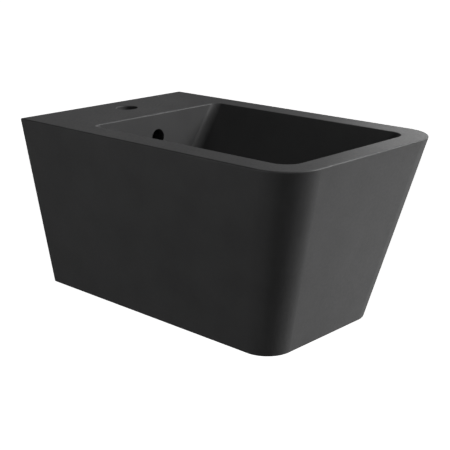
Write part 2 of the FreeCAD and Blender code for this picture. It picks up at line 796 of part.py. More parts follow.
washer_low = tail_end - d.inlet_washer_thickness
dip_collar_low = washer_low - d.dip_collar_thickness
coupling_low = dip_collar_low - d.coupling_lip
tube_radius = d.trap_tube_diameter / 2
tube_bore = tube_radius - d.trap_tube_wall
body_top = coupling_low - d.trap_body_gap
body_low = body_top - d.trap_body_height
outlet_z = body_top - d.outlet_below_body_top
cup_top = body_low - d.cup_seal_thickness
thread_low = body_low - d.trap_thread_length
body_radius = d.trap_body_diameter / 2
trap_thread = body_radius - d.cup_wall


def trap_inlet():
    """Nut, washer and dip tube that hang the trap on the waste's tail."""
    collar = waste_radius - d.slide_clearance
    hexagon_nut("trap_coupling_nut", d.coupling_across_flats, coupling_low, coupling_top,
                [(nut_bore, dip_collar_low, coupling_top),
                 (d.trap_tube_diameter + d.slide_clearance * 2, coupling_low, dip_collar_low)], **at_waste())
    ring("trap_inlet_washer", tube_bore, collar, washer_low, tail_end, **at_waste())
    dip_end = washer_low - d.dip_tube_length
    turned("trap_dip_tube", [(tube_bore, dip_end), (tube_radius, dip_end), (tube_radius, dip_collar_low),
                             (collar, dip_collar_low), (collar, washer_low), (tube_bore, washer_low)],
           **at_waste())


def trap_body():
    body = new_body("trap_body", **at_waste())
    outside = new_sketch(body, "trap_outside_profile", "XZ_Plane")
    shoulder = d.trap_neck_height / 2
    neck = tube_radius + d.trap_neck_height
    polygon(outside, [(NOTHING, body_top), (neck, body_top), (body_radius, body_top - shoulder),
                      (body_radius, body_low), (trap_thread, body_low), (trap_thread, thread_low),
                      (NOTHING, thread_low)])
    revolve(body, "Revolution", "trap_outside", outside)
    branch = new_sketch(body, "branch_outline", "XZ_Plane")
    circle(branch, NOTHING, outlet_z, d.branch_diameter)
    extrude(body, "Pad", "branch", branch, d.branch_length, reverse=True)

    # Water space with a neck for the dip tube and a groove for its seal
    inside = new_sketch(body, "trap_inside_profile", "XZ_Plane")
    bore = tube_radius + d.thread_clearance
    groove = bore + d.trap_neck_seal_wire + d.thread_clearance
    groove_high = body_top - d.trap_neck_height / 2 + d.trap_neck_seal_wire / 2 + d.thread_clearance
    groove_low = groove_high - d.trap_neck_seal_wire - d.thread_clearance * 2
    neck_low = body_top - d.trap_neck_height
    water = trap_thread - d.trap_body_wall
    polygon(inside, [(NOTHING, body_top), (bore, body_top), (bore, groove_high), (groove, groove_high),
                     (groove, groove_low), (bore, groove_low), (bore, neck_low), (water, neck_low),
                     (water, thread_low), (NOTHING, thread_low)])
    revolve(body, "Groove", "trap_inside", inside)
    outlet = new_sketch(body, "branch_bore_outline", "XZ_Plane", -d.branch_length)
    circle(outlet, NOTHING, outlet_z, d.trap_tube_diameter - d.trap_tube_wall * 2)
    extrude(body, "Pocket", "branch_bore", outlet, d.branch_length, reverse=True)
    socket = new_sketch(body, "branch_socket_outline", "XZ_Plane", -d.branch_length)
    circle(socket, NOTHING, outlet_z, d.trap_tube_diameter + d.thread_clearance * 2)
    extrude(body, "Pocket", "branch_socket", socket, d.branch_socket_depth, reverse=True)

    # Rubber ring round the dip tube
    seal = doc.addObject("Part::Torus", "trap_neck_seal")
    seal.Label = "trap_neck_seal"
    bind(seal, "Radius1", bore + d.trap_neck_seal_wire / 2)
    bind(seal, "Radius2", d.trap_neck_seal_wire / 2)
    middle = seat_z + (groove_high + groove_low) / 2
    seal.Placement = Placement(Vector(0, waste_y.value, middle.value), Rotation())
    seal.setExpression("Placement.Base.y", waste_y.text)
    seal.setExpression("Placement.Base.z", middle.text)
    pieces["trap_neck_seal"] = seal


def trap_cup():
    body = new_body("trap_cup", **at_waste())
    inner = trap_thread + d.thread_clearance
    low = cup_top - d.cup_height
    floor = low + d.cup_floor
    profile = new_sketch(body, "cup_profile", "XZ_Plane")
    polygon(profile, [(NOTHING, low), (body_radius, low), (body_radius, cup_top), (inner, cup_top),
                      (inner, floor), (NOTHING, floor)])
    turn = revolve(body, "Revolution", "cup_turn", profile)
    fillet(body, "cup_edge", turn, level(low), d.cup_edge_radius)
    ring("trap_cup_seal", inner, body_radius, cup_top, body_low, **at_waste())


# Trap outlet: pieces lie along Y, with their own zero on the waste axis

def at_outlet():
    """Where the outlet's pieces have their origin."""
    return {"y": waste_y, "z": seat_z + outlet_z, "along": "Y"}


def trap_outlet():
    mouth = d.branch_length
    seal_end = mouth + d.outlet_seal_length
    nut_low = mouth - d.outlet_nut_engagement
    nut_bore_size = d.branch_diameter + d.thread_clearance * 2
    tube_hole = d.trap_tube_diameter + d.slide_clearance * 2
    hexagon_nut("outlet_nut", d.outlet_nut_across_flats, nut_low, seal_end + d.outlet_nut_lip,
                [(nut_bore_size, nut_low, seal_end), (tube_hole, seal_end, seal_end + d.outlet_nut_lip)],
                **at_outlet())
    seal_bore = tube_radius + d.thread_clearance
    seal_outer = d.branch_diameter / 2
    ring("outlet_cone_seal", seal_bore, seal_outer, mouth, seal_end, **at_outlet())
    start = mouth - d.branch_socket_depth
    end = d.waste_from_wall + d.outlet_past_wall
    bead_end = d.waste_from_wall - d.outlet_stop_from_wall
    bead_start = bead_end - d.outlet_stop_bead_width
    bead = tube_radius + d.outlet_stop_bead_height
    turned("outlet_pipe", [(tube_bore, start), (tube_radius, start), (tube_radius, bead_start),
                           (bead, bead_start), (bead, bead_end), (tube_radius, bead_end),
                           (tube_radius, end), (tube_bore, end)], **at_outlet())


# Wall fixing: one stud's pieces along Y, mirrored to the other side

def wall_fixing():
    place = {"x": half_spacing, "along": "Y"}
    collar_low = -d.stud_lug_depth - d.stud_sleeve_collar
    rubber_low = collar_low - d.stud_rubber_thickness
    steel_low = rubber_low - d.stud_steel_thickness
    nut_low = steel_low - d.stud_nut_height
    stud_end = nut_low - d.stud_past_nut
    stud = d.stud_diameter / 2
    screw = d.stud_wall_diameter / 2
    shank = d.stud_wall_length - d.stud_point_length
    bore = stud + d.slide_clearance
    washer = d.stud_washer_diameter / 2
    chamfer = d.stud_end_chamfer
    pair("wall_studs", turned("stud", [
        (NOTHING, stud_end), (stud - chamfer, stud_end), (stud, stud_end + chamfer), (stud, NOTHING),
        (screw, NOTHING), (screw, shank), (NOTHING, d.stud_wall_length)], **place))
    sleeve = d.stud_hole_diameter / 2 - d.slide_clearance
    pair("stud_sleeves", turned("sleeve", [
        (bore, collar_low), (washer, collar_low), (washer, -d.stud_lug_depth), (sleeve, -d.stud_lug_depth),
        (sleeve, NOTHING), (bore, NOTHING)], **place))
    pair("stud_rubber_washers", ring("rubber", bore, washer, rubber_low, collar_low, **place))
    pair("stud_steel_washers", ring("steel", bore, washer, steel_low, rubber_low, **place))
    pair("stud_nuts", hexagon_nut("nut", d.stud_nut_across_flats, nut_low, steel_low,
                                  [(d.stud_diameter + d.thread_clearance * 2, nut_low, steel_low)], **place))


ceramic_body()
waste_body()
waste_clamp()
waste_plug()
plug_cartridge()
trap_inlet()
trap_body()
trap_cup()
trap_outlet()
wall_fixing()
doc.recompute()

# Nothing is written unless every feature and every piece is sound
failed = [item.Label for item in doc.Objects if {"Invalid", "Error"} & set(item.State)]
if failed:
    raise RuntimeError(f"features that failed: {failed}")
for label, piece in pieces.items():
    if piece.Shape.isNull() or not piece.Shape.isValid() or not piece.Shape.Solids:
        raise RuntimeError(f"{label} has no sound solid")

os.makedirs("parts", exist_ok=True)
for label, piece in pieces.items():
    piece.Shape.exportStep(f"parts/{label}.step")
    print(f"{label}: {len(piece.Shape.Solids)} solid(s), {piece.Shape.Volume / 1000:.1f} cm3")
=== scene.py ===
# %% [markdown]
# A wall-hung bidet: one fired ceramic body, a push-plug waste, a bottle trap and two wall studs.
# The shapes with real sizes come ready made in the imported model. This lesson gives them their finishes,
# adds the fine detail that is too small for the solids, and sets up a plain photo studio round them.

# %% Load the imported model
import math

import bpy
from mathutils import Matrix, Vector


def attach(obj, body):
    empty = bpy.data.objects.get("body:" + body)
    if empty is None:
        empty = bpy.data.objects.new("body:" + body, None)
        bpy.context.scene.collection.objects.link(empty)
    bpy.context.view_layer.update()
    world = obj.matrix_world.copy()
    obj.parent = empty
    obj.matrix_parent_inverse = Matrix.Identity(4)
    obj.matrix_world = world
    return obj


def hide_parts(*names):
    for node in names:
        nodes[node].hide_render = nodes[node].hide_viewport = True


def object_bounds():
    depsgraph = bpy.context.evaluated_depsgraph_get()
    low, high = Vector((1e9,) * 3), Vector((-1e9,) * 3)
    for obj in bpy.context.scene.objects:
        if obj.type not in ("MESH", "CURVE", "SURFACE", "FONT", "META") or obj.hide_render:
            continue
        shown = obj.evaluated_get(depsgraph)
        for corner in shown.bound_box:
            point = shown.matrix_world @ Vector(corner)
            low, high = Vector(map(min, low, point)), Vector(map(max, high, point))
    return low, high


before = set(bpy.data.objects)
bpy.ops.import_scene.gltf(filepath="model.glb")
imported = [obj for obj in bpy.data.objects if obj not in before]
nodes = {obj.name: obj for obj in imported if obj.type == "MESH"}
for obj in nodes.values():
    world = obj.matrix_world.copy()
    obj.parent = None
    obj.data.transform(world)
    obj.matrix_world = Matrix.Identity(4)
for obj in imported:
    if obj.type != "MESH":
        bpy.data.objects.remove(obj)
cad_low, cad_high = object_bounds()
print(f"{len(nodes)} pieces, box {[round(v, 3) for v in cad_low]} to {[round(v, 3) for v in cad_high]}")

# %% [markdown]
# The camera stands in front of the bidet's left front corner, a little above the rim. A camera can be aimed by
# eye, but then straight edges seldom fall quite right. Here its place, turn and lens were measured from the
# straight edges of the rim and the body.

# %% Camera
CAMERA_PLACE = (-1.1057, -1.3063, 0.3824)
CAMERA_TURN = math.radians(-47.02)
CAMERA_RISE = math.radians(16.90)
CAMERA_LENS = 81.25

bpy.ops.object.select_all(action="DESELECT")
bpy.ops.object.camera_add(location=CAMERA_PLACE,
                          rotation=(math.pi / 2 - CAMERA_RISE, 0.0, CAMERA_TURN))
camera = bpy.context.object
camera.data.lens = CAMERA_LENS
bpy.context.scene.camera = camera
bpy.context.scene.view_settings.view_transform = "Standard"
print("camera at", CAMERA_PLACE)


# %% [markdown]
# A material is a small graph of nodes. A few helpers keep the graphs short: they start a material, add a node
# with its settings, join two nodes, and give a noise pattern. The pattern lies on the piece's own coordinates,
# so it stays on the piece when the piece moves.

# %% Node helpers
def new_finish(name):
    """A material with nothing but its principled shader, and that shader."""
    finish = bpy.data.materials.new(name)
    finish.use_nodes = True
    return finish, finish.node_tree.nodes["Principled BSDF"]


def add_node(finish, kind, inputs=(), **settings):
    """A node with its settings; inputs are (socket, value or output socket) pairs."""
    node = finish.node_tree.nodes.new(kind)
    for name, value in settings.items():
        setattr(node, name, value)
    for socket, value in inputs:
        if isinstance(value, bpy.types.NodeSocket):
            finish.node_tree.links.new(value, node.inputs[socket])
        else:
            node.inputs[socket].default_value = value
    return node


def link(finish, output, shader, socket):
    """Joins an output to one socket of a shader."""
    finish.node_tree.links.new(output, shader.inputs[socket])


def noise(finish, scale, detail=2.0, stretch=(1.0, 1.0, 1.0)):
    """A noise pattern fixed to the piece; a stretch below one draws it out along that axis."""
    place = add_node(finish, "ShaderNodeTexCoord")
    drawn_out = add_node(finish, "ShaderNodeMapping", [("Vector", place.outputs["Object"]), ("Scale", stretch)])
    pattern = add_node(finish, "ShaderNodeTexNoise", [("Vector", drawn_out.outputs["Vector"]),
                                                      ("Scale", scale), ("Detail", detail)])
    return pattern.outputs["Fac"]


print("node helpers ready")

# %% [markdown]
# Noise hovers round one half and seldom leaves the range from 0.3 to 0.7. The next helpers spread that range
# over what a finish needs: a number such as roughness, a colour between two others, or a small relief.

# %% Helpers that turn noise into a finish
NOISE_LOW = 0.3
NOISE_HIGH = 0.7


def between(finish, pattern, low, high):
    """Turns a pattern into a number that wanders from low to high."""
    spread = add_node(finish, "ShaderNodeMapRange", [("Value", pattern), ("From Min", NOISE_LOW),
                                                     ("From Max", NOISE_HIGH), ("To Min", low), ("To Max", high)])
    return spread.outputs["Result"]


def blend_colours(finish, pattern, first, second):
    """Turns a pattern into a colour that wanders between two."""
    ramp = add_node(finish, "ShaderNodeValToRGB", [("Fac", pattern)])
    start, end = ramp.color_ramp.elements
    start.position, start.color = NOISE_LOW, (*first, 1.0)
    end.position, end.color = NOISE_HIGH, (*second, 1.0)
    return ramp.outputs["Color"]


def tint(finish, shader, pattern, first, second):
    """Gives a finish a colour that wanders between two."""
    link(finish, blend_colours(finish, pattern, first, second), shader, "Base Color")


def gloss(finish, shader, pattern, low, high):
    """Gives a finish a roughness that wanders from low to high."""
    link(finish, between(finish, pattern, low, high), shader, "Roughness")


def bump(finish, shader, pattern, depth):
    """Raises the surface by a pattern, to a depth in metres."""
    relief = add_node(finish, "ShaderNodeBump", [("Height", pattern), ("Distance", depth)])
    link(finish, relief.outputs["Normal"], shader, "Normal")


def coat(finish, *names):
    """Puts a finish on ready-made pieces."""
    for name in names:
        nodes[name].data.materials.clear()
        nodes[name].data.materials.append(finish)
    print(finish.name, "on", ", ".join(names))


print("finish helpers ready")

# %% [markdown]
# Some finishes change from place to place on one piece, so a few more helpers do arithmetic on the piece's own
# coordinates. They turn a distance into a share between nought and one, and the share mixes two finishes. The Mix
# node has sockets for every kind of value, so they are picked by number: 2 and 3 are numbers, 6 and 7 colours.

# %% Helpers for finishes that change over a piece
def arithmetic(finish, operation, *values):
    """One step of arithmetic on numbers and node outputs."""
    return add_node(finish, "ShaderNodeMath", list(enumerate(values)), operation=operation).outputs[0]


def lowest(finish, *values):
    """The smallest of several node outputs."""
    found = values[0]
    for value in values[1:]:
        found = arithmetic(finish, "MINIMUM", found, value)
    return found


def share(finish, value, start, end):
    """Nought where the value is below start, one where it is above end, and a soft step between."""
    step = add_node(finish, "ShaderNodeMapRange", [("Value", value), ("From Min", start), ("From Max", end)],
                    interpolation_type="SMOOTHSTEP")
    return step.outputs["Result"]


def mix_colours(finish, part, first, second):
    """The first colour where the share is nought, the second where it is one."""
    mixed = add_node(finish, "ShaderNodeMix", [(0, part), (6, first), (7, second)], data_type="RGBA")
    return mixed.outputs[2]


def mix_numbers(finish, part, first, second):
    """The first number where the share is nought, the second where it is one."""
    mixed = add_node(finish, "ShaderNodeMix", [(0, part), (2, first), (3, second)], data_type="FLOAT")
    return mixed.outputs[0]


def coordinates(finish):
    """The piece's own x, y and z."""
    place = add_node(finish, "ShaderNodeTexCoord")
    return add_node(finish, "ShaderNodeSeparateXYZ", [("Vector", place.outputs["Object"])]).outputs


print("mixing helpers ready")

# %% [markdown]
# The body is slip-cast china under a matt black glaze. The glaze is not alike all over: the back is ground flat
# after firing, and the hollow is only sprayed thin. The body could be split, with a material for each part, but
# the glaze runs on without a seam. So one material covers it all, and first works out how far each point lies
# from the body's faces. Width, reach and corners grow evenly from the base to the rim.

# %% Distances inside the body
BASE_HEIGHT = cad_low[2]
RIM_HEIGHT = cad_high[2]
BODY_HEIGHT = RIM_HEIGHT - BASE_HEIGHT
BASE_HALF_WIDTH, RIM_HALF_WIDTH = 0.1245, 0.175
BASE_REACH, RIM_REACH = 0.476, 0.550
BASE_CORNER, RIM_CORNER = 0.042, 0.059

glaze, glaze_shader = new_finish("matt_black_glaze")
across, along, up = coordinates(glaze)
above_base = arithmetic(glaze, "SUBTRACT", up, BASE_HEIGHT)


def at_this_height(base, rim):
    """A size that grows evenly from the base to the rim, at the height of the point."""
    return arithmetic(glaze, "MULTIPLY_ADD", above_base, (rim - base) / BODY_HEIGHT, base)


half_width = at_this_height(BASE_HALF_WIDTH, RIM_HALF_WIDTH)
corner_radius = at_this_height(BASE_CORNER, RIM_CORNER)
from_side = arithmetic(glaze, "SUBTRACT", half_width, arithmetic(glaze, "ABSOLUTE", across))
from_front = arithmetic(glaze, "ADD", along, at_this_height(BASE_REACH, RIM_REACH))
from_back = arithmetic(glaze, "MULTIPLY", along, -1.0)
from_top = arithmetic(glaze, "SUBTRACT", RIM_HEIGHT, up)
print("glaze knows the distance to each face of a body", round(BODY_HEIGHT, 3), "m high")

# %% [markdown]
# The grinding wheel takes the glaze off the back, so pale china shows there inside a narrow border. A mask could
# be painted, but a painted image blurs close up. Here the distance to the outline is the mask, and a noise
# pattern moves its edge in and out, because glaze chips as it is ground.

# %% Bare china on the ground back
EDGE_WANDER = 0.0018
GROUND_DEPTH = (0.0002, 0.0005)
GLAZED_BORDER = (0.0045, 0.0060)

ragged_edge = between(glaze, noise(glaze, scale=75.0, detail=4.0), -EDGE_WANDER, EDGE_WANDER)
from_outline = arithmetic(glaze, "ADD", lowest(glaze, from_side, from_top, above_base), ragged_edge)
on_back = arithmetic(glaze, "SUBTRACT", 1.0, share(glaze, from_back, *GROUND_DEPTH))
bare = arithmetic(glaze, "MULTIPLY", on_back, share(glaze, from_outline, *GLAZED_BORDER))
print("bare china inside a border of", GLAZED_BORDER[1], "m")

# %% [markdown]
# In the hollow under the bowl the glaze is sprayed thin, and the china shows through it. No edge of the mesh marks
# where that begins, so the mask takes what lies below the bowl and deeper than a thin skin. At the two front
# corners the skin is round, so the distance there is measured from the corner's own centre.

# %% Thin glaze in the hollow
BELOW_BOWL = (0.045, 0.060)
SKIN = (0.006, 0.010)

side_part = arithmetic(glaze, "MAXIMUM", arithmetic(glaze, "SUBTRACT", corner_radius, from_side), 0.0)
front_part = arithmetic(glaze, "MAXIMUM", arithmetic(glaze, "SUBTRACT", corner_radius, from_front), 0.0)
corner_reach = add_node(glaze, "ShaderNodeCombineXYZ", [("X", side_part), ("Y", front_part)]).outputs[0]
corner_length = add_node(glaze, "ShaderNodeVectorMath", [(0, corner_reach)], operation="LENGTH").outputs["Value"]
from_outside = arithmetic(glaze, "SUBTRACT", corner_radius, corner_length)
hollow_depth = lowest(glaze, from_outside, from_back, above_base)
below_bowl = share(glaze, arithmetic(glaze, "MULTIPLY", up, -1.0), *BELOW_BOWL)
hollow = arithmetic(glaze, "MULTIPLY", below_bowl, share(glaze, hollow_depth, *SKIN))
print("thin glaze deeper than", SKIN[1], "m")

# %% [markdown]
# The glaze is nearly black, with a faint cloudiness. The thin glaze is browner and mottled, and the china is a
# warm grey with fine marks of the wheel. Each gets its own noise pattern, and the two masks mix all three.

# %% Colours of the body
glaze_clouds = noise(glaze, scale=18.0, detail=4.0)
glaze_colour = blend_colours(glaze, glaze_clouds, (0.036, 0.036, 0.0365), (0.044, 0.044, 0.0445))
thin_mottle = noise(glaze, scale=45.0, detail=5.0)
thin_colour = blend_colours(glaze, thin_mottle, (0.040, 0.038, 0.036), (0.100, 0.092, 0.084))
wheel_marks = noise(glaze, scale=190.0, detail=6.0, stretch=(1.0, 1.0, 0.35))
china_colour = blend_colours(glaze, wheel_marks, (0.56, 0.53, 0.48), (0.63, 0.60, 0.55))
glazed_colour = mix_colours(glaze, hollow, glaze_colour, thin_colour)
link(glaze, mix_colours(glaze, bare, glazed_colour, china_colour), glaze_shader, "Base Color")
print("body colours: black glaze, thin glaze and china")

# %% [markdown]
# A matt glaze has a broad gloss and a fine grain like eggshell: edges catch the light softly, and flat faces show
# no sharp reflection. A rough shader alone would look like paint. So the gloss wanders a little, and a coarse and
# a fine grain together give the surface a relief of a few hundredths of a millimetre.

# %% Matt gloss and grain
THIN_ROUGHNESS = 0.72
CHINA_ROUGHNESS = 0.90
FINE_GRAIN_SHARE = 0.25
GRAIN_DEPTH = 0.00004
GLAZE_SHINE = 0.2

eggshell = between(glaze, noise(glaze, scale=260.0, detail=3.0), low=0.46, high=0.54)
glazed_gloss = mix_numbers(glaze, hollow, eggshell, THIN_ROUGHNESS)
link(glaze, mix_numbers(glaze, bare, glazed_gloss, CHINA_ROUGHNESS), glaze_shader, "Roughness")
fine_grain = arithmetic(glaze, "MULTIPLY", noise(glaze, scale=2100.0), FINE_GRAIN_SHARE)
grain = arithmetic(glaze, "ADD", noise(glaze, scale=420.0, detail=3.0), fine_grain)
bump(glaze, glaze_shader, grain, depth=GRAIN_DEPTH)
glaze_shader.inputs["Specular IOR Level"].default_value = GLAZE_SHINE
coat(glaze, "ceramic_body")


# %% [markdown]
# The waste and the trap are chromed brass. New chrome is a clear mirror, but a perfect mirror looks computed.
# Real chrome has faint wipe marks that change its gloss, and a very slight waviness from the polishing wheel,
# so a noise pattern stands in for each of them.

# %% Chrome
def new_metal(name):
    """A material whose shader is wholly metal, and that shader."""
    finish, metal_shader = new_finish(name)
    metal_shader.inputs["Metallic"].default_value = 1.0
    return finish, metal_shader


chrome, shader = new_metal("chrome")
wipe_marks = noise(chrome, scale=130.0, detail=4.0, stretch=(1.0, 0.3, 1.0))
tint(chrome, shader, noise(chrome, scale=60.0, detail=3.0), (0.60, 0.61, 0.63), (0.68, 0.69, 0.70))
gloss(chrome, shader, wipe_marks, low=0.07, high=0.17)
bump(chrome, shader, noise(chrome, scale=90.0), depth=0.00002)
coat(chrome, "waste_body", "waste_plug", "trap_coupling_nut", "trap_body", "trap_dip_tube", "outlet_nut",
     "outlet_pipe")

# %% [markdown]
# The hidden fittings stay plain turned brass. The lathe leaves rings round the axis, much finer than a mesh could
# carry. So a noise pattern that changes fast up the piece and slowly across it drives both the gloss and the fine
# relief.

# %% Turned brass
brass, shader = new_metal("turned_brass")
rings = noise(brass, scale=1500.0, detail=2.0, stretch=(0.04, 0.04, 1.0))
tint(brass, shader, noise(brass, scale=120.0, detail=4.0), (0.50, 0.34, 0.12), (0.61, 0.44, 0.19))
gloss(brass, shader, rings, low=0.22, high=0.38)
bump(brass, shader, rings, depth=0.00003)
coat(brass, "waste_backnut", "cartridge_sleeve", "plunger")

# %% [markdown]
# The seals are black moulded rubber. Fresh rubber has a soft grey bloom in patches and a fine pitted skin. One
# flat black would do from afar. A slow pattern for the bloom and a fast one for the pits also bear a close look.

# %% Rubber
RUBBER_SHINE = 0.3
rubber, shader = new_finish("black_rubber")
tint(rubber, shader, noise(rubber, scale=85.0, detail=5.0), (0.016, 0.016, 0.017), (0.036, 0.036, 0.037))
gloss(rubber, shader, noise(rubber, scale=240.0, detail=3.0), low=0.62, high=0.80)
bump(rubber, shader, noise(rubber, scale=1400.0, detail=3.0), depth=0.00006)
shader.inputs["Specular IOR Level"].default_value = RUBBER_SHINE
coat(rubber, "flange_gasket", "cone_gasket", "plug_seal", "trap_inlet_washer", "trap_neck_seal",
     "trap_cup_seal", "outlet_cone_seal", "stud_rubber_washers")

# %% [markdown]
# The sleeves round the studs and the washer under the waste nut are moulded white plastic. Pure white would
# burn out under the lamps, so the colour is a light, slightly warm grey, half matt, with a faint flow pattern.

# %% White plastic
plastic, shader = new_finish("white_plastic")
tint(plastic, shader, noise(plastic, scale=50.0, detail=3.0), (0.66, 0.65, 0.62), (0.74, 0.73, 0.70))
gloss(plastic, shader, noise(plastic, scale=300.0, detail=3.0), low=0.36, high=0.48)
bump(plastic, shader, noise(plastic, scale=900.0, detail=2.0), depth=0.00003)
coat(plastic, "slip_washer", "stud_sleeves")

# %% [markdown]
# Studs, nuts and washers are zinc plated steel. A rougher chrome would be near, but zinc is greyer and duller,
# with a bluish cast that varies in patches, so it gets a metal of its own.

# %% Zinc plated steel
zinc, shader = new_metal("zinc_plated_steel")
tint(zinc, shader, noise(zinc, scale=150.0, detail=5.0), (0.44, 0.46, 0.50), (0.60, 0.60, 0.59))
gloss(zinc, shader, noise(zinc, scale=420.0, detail=3.0), low=0.28, high=0.46)
bump(zinc, shader, noise(zinc, scale=800.0, detail=3.0), depth=0.00003)
coat(zinc, "stud_steel_washers", "stud_nuts")

# %% [markdown]
# The spring under the plug is bare drawn wire. It is darker than the plated steel, and its gloss changes in
# small specks. The wire is so thin that a relief would not show, so it has none.

# %% Spring wire
wire, shader = new_metal("spring_wire")
tint(wire, shader, noise(wire, scale=700.0, detail=3.0), (0.26, 0.26, 0.27), (0.38, 0.38, 0.39))
gloss(wire, shader, noise(wire, scale=1600.0, detail=2.0), low=0.24, high=0.36)
coat(wire, "plunger_spring")

# %% [markdown]
# Two pieces grow from a profile: a thread is a small profile wound up an axis, and a cup is a half profile spun
# round one. A curve object could hold the profile, but a mesh that is extruded from a single point needs no
# conversion. The point is a small plane merged into its centre. Blender keeps the kind of selection that was used
# last, so the helper first sets it to points.

# %% Draw a profile
STARTING_PLANE = 0.001


def draw_profile(name, start, steps):
    """A point at start, extruded by steps of (outwards, upwards) into a profile, left in edit mode."""
    bpy.ops.object.select_all(action="DESELECT")
    bpy.ops.mesh.primitive_plane_add(size=STARTING_PLANE, location=start)
    drawn = bpy.context.object
    drawn.name = name
    bpy.ops.object.mode_set(mode="EDIT")
    bpy.ops.mesh.select_mode(type="VERT")
    bpy.ops.mesh.select_all(action="SELECT")
    bpy.ops.mesh.merge(type="CENTER")
    for outwards, upwards in steps:
        bpy.ops.mesh.extrude_region_move(TRANSFORM_OT_translate={"value": (outwards, 0.0, upwards)})
    print(name, "has a profile of", len(steps), "steps")
    return drawn


print("profile helper ready")

# %% [markdown]
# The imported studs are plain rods, because a thread is too fine for the solids. A bump pattern could fake one, but
# the rod's outline would stay straight. So each stud gets a real thread: the Screw modifier winds the profile of
# one turn up the axis, and two bisect cuts trim both ends flat.

# %% A rod with a thread
WINDING_STEPS = 24
SPARE_TURNS = 2
ROOT_SHARE = 0.1
SAME_POINT = 1e-6
UPWARDS = (0.0, 0.0, 1.0)


def threaded_rod(name, start, end, pitch, crest, root, crest_share):
    """A rod on the Z axis, threaded from start to end, left in edit mode.

    Crest and root are radii, and crest_share is the part of the pitch that is flat at the crest.
    """
    flank = pitch * (1.0 - crest_share - ROOT_SHARE) / 2.0
    one_turn = ((crest - root, flank), (0.0, pitch * crest_share), (root - crest, flank), (0.0, pitch * ROOT_SHARE))
    rod = draw_profile(name, (root, 0.0, start - pitch), one_turn)
    bpy.ops.object.mode_set(mode="OBJECT")
    bpy.ops.object.transform_apply(location=True, rotation=True, scale=True)
    winding = rod.modifiers.new("winding", "SCREW")
    winding.axis = "Z"
    winding.screw_offset = pitch
    winding.steps = winding.render_steps = WINDING_STEPS
    winding.iterations = math.ceil((end - start) / pitch) + SPARE_TURNS
    bpy.ops.object.modifier_apply(modifier=winding.name)
    bpy.ops.object.mode_set(mode="EDIT")
    bpy.ops.mesh.select_all(action="SELECT")
    bpy.ops.mesh.remove_doubles(threshold=SAME_POINT)
    bpy.ops.mesh.bisect(plane_co=(0.0, 0.0, start), plane_no=UPWARDS, use_fill=True, clear_inner=True)
    bpy.ops.mesh.select_all(action="SELECT")
    bpy.ops.mesh.bisect(plane_co=(0.0, 0.0, end), plane_no=UPWARDS, use_fill=True, clear_outer=True)
    bpy.ops.mesh.select_all(action="SELECT")
    bpy.ops.mesh.normals_make_consistent(inside=False)
    print(name, "shows", round((end - start) / pitch, 1), "turns")
    return rod


print("thread helper ready, with", WINDING_STEPS, "steps a turn")

# %% [markdown]
# Both ends of a stud are shaped by moving their end face. Only that face may be selected, so the selection is
# set to faces and emptied, and the face is then found by its height and by looking along the axis.

# %% Select an end face
SAME_HEIGHT = 2e-5
ALONG_AXIS = 0.99


def select_end(rod, height):
    """Selects only the flat face that closes a rod at this height, in edit mode."""
    bpy.ops.mesh.select_mode(type="FACE")
    bpy.ops.mesh.select_all(action="DESELECT")
    bpy.ops.object.mode_set(mode="OBJECT")
    for face in rod.data.polygons:
        face.select = abs(face.center.z - height) < SAME_HEIGHT and abs(face.normal.z) > ALONG_AXIS
    print(rod.name, "has", sum(face.select for face in rod.data.polygons), "end face selected")
    bpy.ops.object.mode_set(mode="EDIT")


print("selection helper ready")

# %% [markdown]
# On the room side a nut runs on a fine machine thread. Its end gets a chamfer, so that the nut starts easily. A
# bevel would tangle in the thread's edges. Instead a cut just inside the end gives a loop of edges to hold the
# thread, and the end face is then drawn in.

# %% The machine thread of a stud
STUD_END = -0.0595
STUD_CHAMFER = 0.0012
END_SHRINK = 0.82
machine = threaded_rod("machine_thread", start=STUD_END, end=-0.0010, pitch=0.00175, crest=0.00595, root=0.00495,
                       crest_share=0.15)
bpy.ops.mesh.bisect(plane_co=(0.0, 0.0, STUD_END + STUD_CHAMFER), plane_no=UPWARDS)
select_end(machine, STUD_END)
bpy.ops.transform.resize(value=(END_SHRINK, END_SHRINK, 1.0), center_override=(0.0, 0.0, STUD_END))
bpy.ops.object.mode_set(mode="OBJECT")

# %% [markdown]
# In the wall a coarse, sharp thread holds in a plug, and a point leads it in. A cone could be set on the end, but
# pulling the end face out and shrinking it keeps the rod one closed skin.

# %% The wood thread of a stud
POINT_START = 0.0620
POINT_LENGTH = 0.0078
POINT_SHRINK = 0.06
wood = threaded_rod("wood_thread", start=0.0050, end=POINT_START, pitch=0.0045, crest=0.00495, root=0.0036,
                    crest_share=0.05)
select_end(wood, POINT_START)
bpy.ops.mesh.extrude_region_move(TRANSFORM_OT_translate={"value": (0.0, 0.0, POINT_LENGTH)})
bpy.ops.transform.resize(value=(POINT_SHRINK, POINT_SHRINK, 1.0),
                         center_override=(0.0, 0.0, POINT_START + POINT_LENGTH))
bpy.ops.object.mode_set(mode="OBJECT")

# %% [markdown]
# A short plain shank joins the two threads. It is a cylinder with its edges rounded by a Bevel modifier. On the
# real stud all three are one rod, so they are joined into one piece.

# %% One stud
SHANK_SIDES = 32
SHANK_RADIUS = 0.0048
SHANK_LENGTH = 0.0085
SHANK_MIDDLE = 0.0022
SHANK_ROUNDING = 0.0006
ROUNDING_STEPS = 2
STUD_CREASE = math.radians(32.0)

